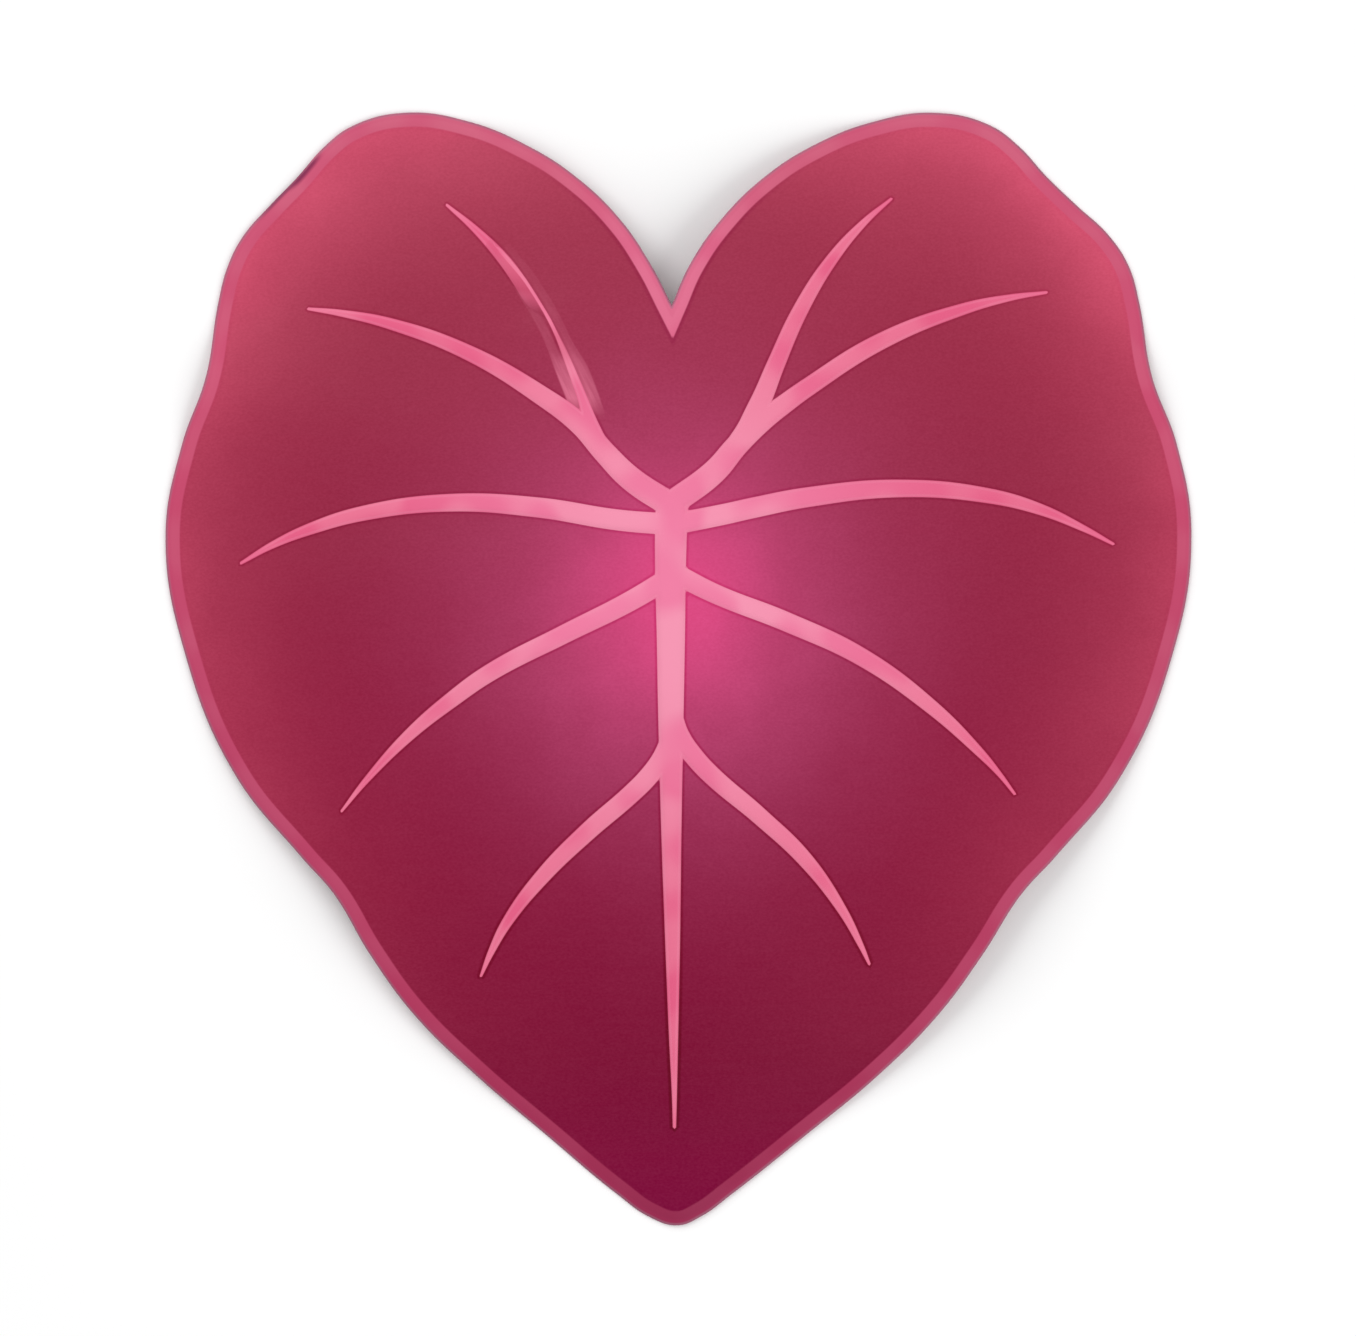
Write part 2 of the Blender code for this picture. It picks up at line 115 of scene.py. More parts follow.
# Each vein's line from root to end: points in millimetres, each with the vein's half width
VEINS = {
    "midrib": (
        (-1.5, 35.0, 3.6), (-1.75, 27.0, 3.5), (-1.7, 7.0, 3.12), (-1.7, -6.8, 2.88),
        (-1.6, -34.7, 2.27), (-1.3, -61.7, 1.62), (-1.1, -82.0, 1.02), (-0.9, -97.0, 0.5),
        (-0.9, -102.9, 0.35)),
    "left_outer_lobe": (
        (-1.5, 36.5, 2.8), (-10.7, 42.6, 2.72), (-16.4, 48.3, 2.5), (-22.0, 54.7, 2.4),
        (-30.4, 61.0, 2.15), (-46.8, 70.7, 1.7), (-64.7, 77.4, 1.25), (-76.0, 79.85, 0.72),
        (-83.1, 80.8, 0.3)),
    "right_outer_lobe": (
        (-1.5, 37.0, 2.8), (8.1, 44.2, 2.7), (13.2, 50.1, 2.5), (19.0, 55.6, 2.3),
        (23.9, 59.4, 2.15), (28.6, 62.8, 2.05), (45.4, 73.4, 1.85), (63.9, 80.7, 1.28),
        (74.5, 83.3, 0.72), (82.6, 84.5, 0.3)),
    "left_inner_lobe": (
        (-17.3, 49.3, 2.0), (-19.5, 54.4, 1.7), (-21.3, 60.0, 1.1), (-23.2, 65.0, 0.88),
        (-25.7, 71.2, 0.64), (-28.0, 76.3, 0.44), (-29.3, 78.6, 0.5), (-30.6, 80.1, 0.86),
        (-32.0, 81.5, 1.34), (-33.2, 83.1, 1.5), (-35.9, 87.3, 1.46), (-39.2, 91.8, 1.31),
        (-45.7, 98.7, 0.76), (-52.0, 104.1, 0.28)),
    "right_inner_lobe": (
        (12.6, 49.6, 2.3), (15.3, 53.4, 2.42), (17.2, 57.2, 2.4), (19.2, 61.7, 2.2),
        (21.7, 67.9, 2.0), (27.5, 80.7, 1.72), (34.4, 91.8, 1.32), (41.6, 100.1, 0.76),
        (47.8, 105.5, 0.28)),
    "left_upper_side": (
        (-1.5, 32.3, 2.4), (-13.5, 33.3, 2.32), (-31.3, 36.1, 2.22), (-51.2, 37.2, 1.95),
        (-70.9, 34.8, 1.64), (-82.5, 31.4, 1.28), (-91.0, 27.8, 0.76), (-98.2, 23.7, 0.3)),
    "right_upper_side": (
        (-1.5, 32.3, 2.4), (10.3, 34.6, 2.3), (17.0, 36.1, 2.28), (28.8, 38.4, 2.2),
        (49.6, 40.4, 1.95), (69.4, 38.8, 1.66), (81.0, 35.8, 1.25), (90.9, 31.5, 0.7),
        (97.6, 28.0, 0.3)),
    "left_lower_side": (
        (-1.5, 20.7, 2.3), (-10.9, 15.1, 2.22), (-26.1, 7.5, 2.07), (-42.1, -0.8, 1.93),
        (-50.5, -6.7, 1.76), (-60.3, -14.8, 1.3), (-69.9, -24.9, 0.67), (-75.5, -31.9, 0.25)),
    "right_lower_side": (
        (-1.5, 21.7, 2.3), (8.2, 16.8, 2.15), (24.0, 10.6, 2.15), (41.1, 2.6, 1.98),
        (56.5, -8.4, 1.6), (67.4, -18.6, 1.0), (72.1, -23.8, 0.54), (75.4, -28.1, 0.28)),
    "left_tip_side": (
        (-1.6, -15.5, 2.2), (-3.8, -20.2, 2.2), (-6.9, -24.3, 2.15), (-10.5, -27.9, 2.12),
        (-20.3, -36.4, 2.02), (-30.3, -46.3, 1.7), (-38.3, -56.6, 1.18), (-42.0, -63.5, 0.7),
        (-44.3, -68.9, 0.25)),
    "right_tip_side": (
        (-0.9, -8.5, 1.3), (0.3, -15.0, 2.2), (3.4, -19.5, 2.15), (7.4, -23.8, 2.1),
        (18.1, -32.9, 1.93), (28.3, -42.6, 1.7), (36.6, -53.9, 1.05), (41.0, -62.2, 0.58),
        (42.8, -66.2, 0.28)),
}

# Middle of the streak where the left inner vein is rubbed, in millimetres
RUBBED = (
    (-17.3, 49.3), (-19.5, 54.4), (-21.3, 60.0), (-23.2, 65.0), (-25.7, 71.2), (-28.0, 76.3),
    (-29.4, 79.1), (-30.9, 81.7), (-32.7, 84.6), (-34.5, 87.3), (-37.2, 90.6), (-40.2, 94.1))

VEIN_FLATNESS = 4.0          # a vein's face is flatter and its flanks are steeper the higher this is
RIB_FLATNESS = 2.0

# Rows of mesh points, as distances in millimetres from the edge, a vein's edge or the rim
RIM_ROWS = (0.8, 1.7, 2.7, 3.1)
ROWS_IN_VEIN = (0.3, 0.8, 1.5)
ROWS_BESIDE_VEIN = (0.35, 0.9, 1.8)
ROWS_BESIDE_RIM = (0.4, 1.2)

# Spacing of the mesh points
LINE_STEP = 1.0 * MM
BLADE_STEP = 2.1 * MM
BLADE_GAP = 1.35 * MM
ROW_GAP = 0.31 * MM          # kept between a row's points; beside a vein, for each mm from it
LEAST_GAP = 0.25 * MM
LEAST_EDGE = 0.12 * MM       # points nearer than this are merged
LEAST_HALF_WIDTH = 0.05 * MM
CROSSING_DEPTH = 1.1 * MM    # a vein's edge line stops this far inside another vein
ROW_ANGLE = math.radians(60.0)  # the blade's points stand in even triangles
SAME_POINT = 1e-7
CDT_INSIDE = 1               # the triangulation keeps only what lies inside the outline
WALL_STEPS = 4               # the rounded edge has this many bands of faces
CHUNK = 4000                 # points whose distances are worked out at once
SHARP_ANGLE = math.radians(60.0)
MOST_DIFFERENCE = 1.0 * MM   # between the finished leaf's box and the frame's

# Order of the leaf's materials
FACE, EDGE, BACK, SKIN, CUT = range(5)

# Places in the colouring
HALF_LENGTH = 125.0 * MM
GLOW_MIDDLE = (-0.8 * MM, 15.0 * MM)
GLOW_REACH = (22.5 * MM, 24.0 * MM)
HALO_MIDDLE = (-0.8 * MM, 10.5 * MM)
HALO_REACH = (46.0 * MM, 51.0 * MM)
FLUSH_REACH = 100.0 * MM     # from the hub
FLUSH_DEPTH_MM = 29.5        # the flush fades over this distance from the edge
VEIN_FADE = 84.0 * MM        # a vein has its end's colour this far from the glow's middle
NOTCH_REACH = 44.0 * MM
FAR = 50.0 * MM              # the stub counts as this far from each edge and vein

# Dark patches at the edge: middle, reach round it, depth into the rim in millimetres, strength
EDGE_DARK_PATCHES = (
    ((-84.2 * MM, 112.0 * MM), 6.5 * MM, 1.8, 0.85), ((-88.6 * MM, 107.6 * MM), 11.0 * MM, 1.1, 0.7))
EDGE_DARK_COLOUR = (128, 40, 80)

# Camera and studio
CAMERA_LENS = 400.0
SENSOR_WIDTH = 36.0
PICTURE_WIDTH = 304.3 * MM   # what the camera sees across at the height of the leaf's edge
PICTURE_MIDDLE = (-0.1 * MM, 0.2 * MM)
LEAF_EDGE_HEIGHT = 3.0 * MM
FLOOR_SIZE = 8.0
KEY_PLACE = (-0.75, 0.95, 0.95)
KEY_POWER = 14.5
FILL_PLACE = (0.95, -0.75, 0.95)
FILL_POWER = 12.5
SOFTBOX_SIZE = 1.3
SURROUNDING_LIGHT = 0.5
STUDIO_LIGHT = 1.1           # light on the leaf; at 1 a surface shows its own colour


def linear(colour):
    """A screen colour as the shader's light values under the studio's light, with full opacity."""
    light = [part / 12.92 if part <= 0.04045 else ((part + 0.055) / 1.055) ** 2.4 for part in colour]
    return (*(part / STUDIO_LIGHT for part in light), 1.0)


def shown(*levels):
    """Light values of a colour that shows on the screen as given, from 0 to 255."""
    return linear([level / 255.0 for level in levels])


def colour_setting(name, description, shade):
    """A colour that the user can change."""
    return FloatVectorProperty(
        name=name, description=description, default=[level / 255.0 for level in shade],
        min=0.0, max=1.0, subtype="COLOR_GAMMA")


def length_setting(name, description, millimetres):
    """A length that the user can change."""
    return FloatProperty(
        name=name, description=description, default=millimetres * MM, min=0.0, precision=5,
        subtype="DISTANCE", unit="LENGTH")


class TaroLeafSizes(bpy.types.PropertyGroup):
    """Sizes of the leaf."""
    lamina: length_setting("Blade", "Thickness of the blade between its veins", LAMINA_MM)
    rim_width: length_setting("Rim", "Width of the pale band along the edge", RIM_MM)
    vein_relief: FloatProperty(
        name="Vein relief", description="Height of a vein over the face, as a share of its half width",
        default=0.24, min=0.0, max=1.0, subtype="FACTOR")
    rib_relief: FloatProperty(
        name="Rib relief", description="Depth of a rib under the back, as a share of its half width",
        default=0.62, min=0.0, max=1.5, subtype="FACTOR")


class TaroLeafColours(bpy.types.PropertyGroup):
    """Colours of the leaf, as they show on the screen."""
    # The blade's colours from lobes to tip, and the rim's, step down partly as painted light
    lobes: colour_setting("Lobes", "Blade between the lobes' veins", (167, 57, 82))
    middle: colour_setting("Middle", "Blade on each side of the hub", (147, 36, 66))
    belly: colour_setting("Belly", "Blade under the side veins", (130, 10, 51))
    tip: colour_setting("Tip", "Blade near the tip", (124, 6, 59))
    flush: colour_setting("Flush", "Coral flush beside the rim of the lobes", (255, 106, 139))
    glow: colour_setting("Glow", "Magenta glow round the hub", (245, 78, 143))
    halo: colour_setting("Halo", "Paler ground round the glow", (200, 84, 133))
    vein_root: colour_setting("Vein at the hub", "Veins where they meet", (247, 141, 175))
    vein_end: colour_setting("Vein ends", "Veins far from the hub", (235, 107, 143))
    rim_lobes: colour_setting("Rim of the lobes", "Band along the lobes' edge", (211, 96, 126))
    rim_side: colour_setting("Rim of the sides", "Band along the sides", (196, 77, 111))
    rim_tip: colour_setting("Rim of the tip", "Band along the edge near the tip", (150, 46, 81))
    back: colour_setting("Back", "Dull back of the blade", (150, 74, 98))
    rib: colour_setting("Ribs", "Ribs under the back", (212, 134, 152))
    cut: colour_setting("Cut", "Moist cut end of the stalk", (226, 190, 172))


def smooth_line(points):
    """Points about a step apart on a Bezier curve that runs smoothly through the given ones. A
    vein's half width, its points' third value, changes as smoothly."""
    curve = bpy.data.curves.new("line", "CURVE")
    curve.dimensions = "3D"
    spline = curve.splines.new("BEZIER")
    spline.bezier_points.add(len(points) - 1)
    for knot, point in zip(spline.bezier_points, points):
        knot.co = Vector(point).to_3d() * MM
        knot.handle_left_type = "AUTO"
        knot.handle_right_type = "AUTO"
    guide = bpy.data.objects.new("line", curve)
    bpy.context.scene.collection.objects.link(guide)
    bpy.context.view_layer.update()
    dense = np.array([vertex.co for vertex in guide.to_mesh().vertices])
    guide.to_mesh_clear()
    bpy.data.objects.remove(guide)
    bpy.data.curves.remove(curve)
    return resampled(dense)


def resampled(line):
    """A line's points set about a step apart."""
    lengths = np.linalg.norm(np.diff(line[:, :2], axis=0), axis=1)
    reach = np.concatenate([[0.0], np.cumsum(lengths)])
    places = np.linspace(0.0, reach[-1], max(2, round(reach[-1] / LINE_STEP) + 1))
    return np.stack([np.interp(places, reach, values) for values in line.T], axis=1)


def nearest_on_line(points, line):
    """Each point's distance to a line, where its nearest spot lies from 0 to 1, and in which piece."""
    start = line[:-1]
    run = line[1:] - start
    length = np.linalg.norm(run, axis=1)
    reach = np.concatenate([[0.0], np.cumsum(length)])
    found = []
    for first in range(0, len(points), CHUNK):
        some = points[first:first + CHUNK]
        offset = some[:, None, :] - start[None, :, :]
        share = np.clip((offset * run).sum(axis=2) / length ** 2, 0.0, 1.0)
        gap = np.linalg.norm(offset - share[:, :, None] * run, axis=2)
        nearest = gap.argmin(axis=1)
        rows = np.arange(len(some))
        place = (reach[nearest] + share[rows, nearest] * length[nearest]) / reach[-1]
        found.append((gap[rows, nearest], place, nearest))
    return [np.concatenate(values) for values in zip(*found)]


def inside(points, ring):
    """Which points lie inside a closed ring, by counting the sides that each one's ray meets."""
    end = np.roll(ring, -1, axis=0)
    x = points[:, 0][:, None]
    y = points[:, 1][:, None]
    spans = (ring[:, 1] > y) != (end[:, 1] > y)
    rise = np.where(end[:, 1] == ring[:, 1], 1.0, end[:, 1] - ring[:, 1])
    crossing = ring[:, 0] + (y - ring[:, 1]) / rise * (end[:, 0] - ring[:, 0])
    return (spans & (x < crossing)).sum(axis=1) % 2 == 1


def inward_normals(ring):
    """The direction into the leaf at each point of its edge, straight down at the notch."""
    tangent = np.roll(ring, -1, axis=0) - np.roll(ring, 1, axis=0)
    tangent /= np.linalg.norm(tangent, axis=1)[:, None]
    normals = np.stack([-tangent[:, 1], tangent[:, 0]], axis=1)
    normals[0] = (0.0, -1.0)
    return normals


def inward_line(ring, depth):
    """The closed line a depth inside the edge, with a sharp mitre below the notch."""
    moved = ring + depth * inward_normals(ring)
    notch_angle = Vector(ring[1] - ring[0]).angle(Vector(ring[-1] - ring[0]))
    moved[0] = ring[0] + np.array([0.0, -depth / math.sin(notch_angle / 2.0)])
    return resampled(np.vstack([moved, moved[:1]]))


def rim_depth(points, ring):
    """Distance from the leaf's edge, mitred below the notch as its rim is."""
    depth, _, _ = nearest_on_line(points, np.vstack([ring, ring[:1]]))
    notch = ring[0]
    from_notch = points - notch
    below = np.linalg.norm(from_notch, axis=1) - depth < SAME_POINT
    sides = []
    for neighbour, turn in ((ring[1], 1.0), (ring[-1], -1.0)):
        along = (neighbour - notch) / np.linalg.norm(neighbour - notch)
        into = np.array([-along[1], along[0]]) * turn
        sides.append(from_notch @ into)
    return np.where(below, np.maximum(*sides), depth)


def vein_distance(points, vein):
    """Each point's distance to a vein's line, and the vein's half width there."""
    distance, along, _ = nearest_on_line(points, vein[:, :2])
    half = np.interp(along, np.linspace(0.0, 1.0, len(vein)), vein[:, 2])
    return distance, np.maximum(half, 0.0)


def side_distance(points, line):
    """Each point's distance to a line, negative on the line's left."""
    distance, _, piece = nearest_on_line(points, line)
    run = line[piece + 1] - line[piece]
    offset = points - line[piece]
    left = run[:, 0] * offset[:, 1] > run[:, 1] * offset[:, 0]
    return np.where(left, -distance, distance)


class Blade:
    """The leaf's edge and veins as lines, and its surfaces as formulas over them."""

    def __init__(self, sizes):
        self.sizes = sizes
        points = (NOTCH,) + LEFT_EDGE + (TIP,) + RIGHT_EDGE[::-1] + (NOTCH,)
        self.ring = smooth_line(points)[:-1, :2]
        self.veins = [smooth_line(line) for line in VEINS.values()]
        self.rubbed = smooth_line(RUBBED)[:, :2]

    def vein_shape(self, points):
        """Relief on the face, rib depth under the back, groove and gap from the nearest vein's
        edge, which is negative inside the vein, at each point."""
        top = np.zeros(len(points))
        under = np.zeros(len(points))
        groove = np.zeros(len(points))
        gap = np.full(len(points), np.inf)
        for vein in self.veins:
            distance, half = vein_distance(points, vein)
            spread = np.clip(distance / np.maximum(half, LEAST_HALF_WIDTH), 0.0, 1.0)
            relief = self.sizes.vein_relief * half * (1.0 - spread ** VEIN_FLATNESS)
            rib = self.sizes.rib_relief * half * (1.0 - spread ** RIB_FLATNESS)
            sink = GROOVE_DEPTH * half / vein[:, 2].max() * np.exp(-(distance / GROOVE_REACH) ** 2)
            top += (relief / MM) ** RELIEF_BLEND
            under += (rib / MM) ** RELIEF_BLEND
            groove += (sink / MM) ** GROOVE_BLEND
            gap = np.minimum(gap, distance - half)
        top = top ** (1.0 / RELIEF_BLEND) * MM
        under = under ** (1.0 / RELIEF_BLEND) * MM
        return top, under, groove ** (1.0 / GROOVE_BLEND) * MM, gap

    def height(self, points, groove):
        """Height of the blade's back over the surface below, before its ribs."""
        out = points - np.array(ARCH_MIDDLE)
        reach = np.where(out[:, 1] > 0.0, ARCH_TO_LOBES, ARCH_TO_TIP)
        arch = HUB_LIFT * (1.0 - (out[:, 0] / ARCH_HALF_WIDTH) ** 2 - (out[:, 1] / reach) ** 2)
        spoke = points - np.array(HUB)
        turn = np.degrees(np.arctan2(np.abs(spoke[:, 0]), spoke[:, 1]))
        outwards = (np.linalg.norm(spoke, axis=1) / ARCH_HALF_WIDTH) ** 4
        wave = np.zeros(len(points))
        for direction, width, rise in WAVES:
            wave += rise * MM * np.exp(-((turn - direction) / width) ** 2) * outwards
        free = arch + wave - groove
        settling = np.clip(free + FLOOR_BLEND, 0.0, None) ** 2 / (4.0 * FLOOR_BLEND)
        return np.where(free > FLOOR_BLEND, free, settling)

    def surfaces(self, points):
        """Height of the face and of the back, rim depth and vein gap, at each point."""
        top, under, groove, gap = self.vein_shape(points)
        depth = rim_depth(points, self.ring)
        across = depth / (self.sizes.rim_width * 0.5) - 1.0
        rim = RIM_RELIEF * np.clip(1.0 - across ** 2, 0.0, 1.0)
        boss = BOSS_DEPTH * np.exp(-(np.linalg.norm(points - np.array(HUB), axis=1) / BOSS_REACH) ** 2)
        height = self.height(points, groove)
        face = height + self.sizes.lamina + rim + top
        back = np.maximum(height - rim - np.maximum(under, boss), 0.0)
        return face, back, depth, gap


class Sites:
    """Points of the flat sheet. Loose ones are left out where they crowd those before them."""

    def __init__(self):
        self.points = []
        self.cells = {}

    def cell(self, point):
        """The square of the plane that a point falls in."""
        return (math.floor(point[0] / BLADE_STEP), math.floor(point[1] / BLADE_STEP))

    def crowded(self, point, gap):
        """Whether a point lies nearer than the gap to one before it."""
        column, row = self.cell(point)
        for i in (column - 1, column, column + 1):
            for j in (row - 1, row, row + 1):
                for other in self.cells.get((i, j), ()):
                    if math.dist(point, other) < gap:
                        return True
        return False

    def add(self, point):
        """Keep a point, and give its place in the list."""
        point = (float(point[0]), float(point[1]))
        self.cells.setdefault(self.cell(point), []).append(point)
        self.points.append(point)
        return len(self.points) - 1

    def add_loose(self, points, gap):
        """Keep the points that don't crowd those before them."""
        for point in points:
            if not self.crowded(point, gap):
                self.add(point)

    def add_line(self, points, kept):
        """Keep a line's points where asked, and give the edges between those side by side."""
        places = [self.add(point) if keep else None for point, keep in zip(points, kept)]
        return [(a, b) for a, b in zip(places, places[1:]) if a is not None and b is not None]


def side_rows(line, reach):
    """A line's points moved to each of its sides, by a reach for each point."""
    tangent = np.gradient(line, axis=0)
    tangent /= np.linalg.norm(tangent, axis=1)[:, None]
    across = np.stack([-tangent[:, 1], tangent[:, 0]], axis=1) * reach[:, None]
    return line + across, line - across


def stalk_circle(share):
    """Points round the place where the stub leaves the back, at a share of its radius."""
    turns = np.linspace(0.0, 2.0 * math.pi, STALK_SIDES, endpoint=False)
    circle = np.stack([np.cos(turns), np.sin(turns)], axis=1)
    return STALK_ROOT + share * STALK_TOP_RADIUS * circle


def sheet_sites(blade):
    """Points and fixed edges of the flat sheet, laid along its edge and its veins."""
    sites = Sites()
    fixed = []
    ring = blade.ring
    for point in ring:
        sites.add(point)
    inner = inward_line(ring, blade.sizes.rim_width)
    fixed += sites.add_line(inner, np.full(len(inner), True))
    veins = [(vein[:, :2], np.maximum(vein[:, 2], 0.0)) for vein in blade.veins]
    for line, half in veins:
        sites.add(line[-1])
        for side in side_rows(line, half):
            _, _, _, gap = blade.vein_shape(side)
            fixed += sites.add_line(side, (gap > -CROSSING_DEPTH) & (half > LEAST_GAP))
    circle = stalk_circle(1.0)
    fixed += sites.add_line(np.vstack([circle, circle[:1]]), np.full(STALK_SIDES + 1, True))
    sites.add_loose(stalk_circle(STALK_INNER_CIRCLE), LEAST_GAP)
    for depth in RIM_ROWS + tuple(blade.sizes.rim_width / MM + beside for beside in ROWS_BESIDE_RIM):
        sites.add_loose(inward_line(ring, depth * MM), ROW_GAP)
    for line, half in veins:
        for row in ROWS_IN_VEIN:
            wide = half > row * MM + LEAST_GAP
            for side in side_rows(line, half - row * MM):
                sites.add_loose(side[wide], LEAST_GAP)
        sites.add_loose(line, LEAST_GAP)
    for line, half in veins:
        for row in ROWS_BESIDE_VEIN:
            for side in side_rows(line, half + row * MM):
                sites.add_loose(side, max(LEAST_GAP, ROW_GAP * row))
    low = ring.min(axis=0)
    high = ring.max(axis=0)
    for count, y in enumerate(np.arange(low[1], high[1], BLADE_STEP * math.sin(ROW_ANGLE))):
        start = low[0] + BLADE_STEP * 0.5 * (count % 2)
        row = np.array([(x, y) for x in np.arange(start, high[0], BLADE_STEP)])
        row = row[inside(row, ring)]
        if len(row):
            deep = rim_depth(row, ring) > blade.sizes.rim_width + BLADE_GAP
            sites.add_loose(row[deep], BLADE_GAP)
    return sites.points, fixed


def add_flat_sheet(blade):
    """Add the flat sheet of triangles. No primitive has edges that follow the veins, so it is
    triangulated over its lines."""
    points, fixed = sheet_sites(blade)
    edge = [list(range(len(blade.ring)))]
    flat, _, faces, _, _, _ = delaunay_2d_cdt(
        [Vector(point) for point in points], fixed, edge, CDT_INSIDE, SAME_POINT)
    data = bpy.data.meshes.new("leaf_blade")
    data.from_pydata([(x, y, 0.0) for x, y in flat], [], faces)
    data.validate()
    sheet = bpy.data.objects.new("leaf_blade", data)
    bpy.context.scene.collection.objects.link(sheet)
    bpy.context.view_layer.objects.active = sheet
    sheet.select_set(True)
    return sheet


def select_faces(sheet, wanted):
    """Select only the faces whose middle passes a test. Used between edit mode's operators."""
    bpy.ops.object.mode_set(mode="OBJECT")
    data = sheet.data
    for items in (data.vertices, data.edges):
        items.foreach_set("select", np.zeros(len(items), bool))
    middles = np.empty(len(data.polygons) * 3)
    data.polygons.foreach_get("center", middles)
    data.polygons.foreach_set("select", wanted(middles.reshape(-1, 3)))
    bpy.ops.object.mode_set(mode="EDIT")
    bpy.ops.mesh.select_mode(type="FACE")


def extrude_down(distance):
    """Extrude the selected faces straight down."""
    bpy.ops.mesh.extrude_region_move(TRANSFORM_OT_translate={"value": (0.0, 0.0, -distance)})


def thicken(sheet, blade):
    """Extrude the sheet to a solid in equal steps, then its stub from the back in longer ones."""
    step = blade.sizes.lamina / WALL_STEPS
    bpy.ops.object.mode_set(mode="EDIT")
    bpy.ops.mesh.select_all(action="SELECT")
    bpy.ops.mesh.remove_doubles(threshold=LEAST_EDGE)
    bpy.ops.mesh.normals_make_consistent(inside=False)
    for _ in range(WALL_STEPS):
        extrude_down(step)

    def in_stalk(middles):
        apart = np.linalg.norm(middles[:, :2] - STALK_ROOT, axis=1)
        return (apart < STALK_TOP_RADIUS) & (middles[:, 2] < -blade.sizes.lamina + step * 0.5)

    select_faces(sheet, in_stalk)
    for _ in range(STALK_RINGS):
        extrude_down(STALK_LENGTH / STALK_RINGS)
    bpy.ops.mesh.select_all(action="SELECT")
    bpy.ops.mesh.normals_make_consistent(inside=False)
    bpy.ops.object.mode_set(mode="OBJECT")


def stub_spots(blade, flat, ring):
    """Places of the stub's points, from those in the flat sheet and the number of their ring."""
    top = blade.height(np.array([HUB]), np.array([GROOVE_DEPTH]))[0] + blade.sizes.lamina - STALK_SINK
    start = np.array([HUB.x, HUB.y, top])
    down = np.array([0.0, -math.sin(STALK_LEAN), -math.cos(STALK_LEAN)])
    right = np.array([1.0, 0.0, 0.0])
    forward = np.array([0.0, math.cos(STALK_LEAN), -math.sin(STALK_LEAN)])
    along = STALK_START + (STALK_LENGTH - STALK_START) * ring / STALK_RINGS
    width = STALK_TOP_RADIUS + (STALK_END_RADIUS - STALK_TOP_RADIUS) * along / STALK_LENGTH
    share = (flat - STALK_ROOT) / STALK_TOP_RADIUS
    return (
        start + along[:, None] * down + (width * share[:, 0])[:, None] * right
        + (width * share[:, 1])[:, None] * forward)


def set_materials(data, level, stalk_ring):
    """Give each face its material, by the levels and the stub's rings of its corners."""
    corners = np.empty(len(data.loops), int)
    data.loops.foreach_get("vertex_index", corners)
    starts = np.empty(len(data.polygons), int)
    data.polygons.foreach_get("loop_start", starts)
    lowest = np.maximum.reduceat(level[corners], starts)
    highest = np.minimum.reduceat(level[corners], starts)
    last_ring = np.maximum.reduceat(stalk_ring[corners], starts)
    first_ring = np.minimum.reduceat(stalk_ring[corners], starts)
    kind = np.full(len(starts), EDGE)
    kind[lowest == 0] = FACE
    kind[highest == WALL_STEPS] = BACK
    kind[last_ring > 0] = SKIN
    kind[first_ring == STALK_RINGS] = CUT
    data.polygons.foreach_set("material_index", kind.astype(np.int32))


def place_points(sheet, blade):
    """Move every point of the flat solid to its place in the leaf, and store what the
    materials need to know about it."""
    data = sheet.data
    flat = np.empty(len(data.vertices) * 3)
    data.vertices.foreach_get("co", flat)
    flat = flat.reshape(-1, 3)
    level = np.round(-flat[:, 2] / (blade.sizes.lamina / WALL_STEPS)).astype(int)
    level = np.minimum(level, WALL_STEPS)
    stalk_ring = np.round((-flat[:, 2] - blade.sizes.lamina) / (STALK_LENGTH / STALK_RINGS)).astype(int)
    place = flat[:, :2].copy()

    edge_gap, _, _ = nearest_on_line(place, np.vstack([blade.ring, blade.ring[:1]]))
    on_edge = edge_gap < SAME_POINT * 10.0
    nearest = np.array([
        np.linalg.norm(blade.ring - point, axis=1).argmin() for point in place[on_edge]])
    lean = math.pi / 2.0 * (1.0 - 2.0 * level[on_edge] / WALL_STEPS)
    pull = blade.sizes.lamina * 0.5 * (1.0 - np.cos(lean))
    place[on_edge] += inward_normals(blade.ring)[nearest] * pull[:, None]

    face, back, depth, gap = blade.surfaces(place)
    swing = np.where(level == 0, 1.0, -1.0)
    swing[on_edge] = np.sin(lean)
    height = (face + back) * 0.5 + (face - back) * 0.5 * swing
    spots = np.column_stack([place, height])
    stub = stalk_ring > 0
    spots[stub] = stub_spots(blade, flat[stub, :2], stalk_ring[stub])
    data.vertices.foreach_set("co", spots.astype(np.float32).ravel())

    rubbed = side_distance(place, blade.rubbed)
    for name, values in (("rim_depth_mm", depth), ("vein_gap_mm", gap), ("rubbed_mm", rubbed)):
        values[stub] = FAR
        layer = data.attributes.new(name, "FLOAT", "POINT")
        layer.data.foreach_set("value", (values / MM).astype(np.float32))
    set_materials(data, level, stalk_ring)
    data.update()


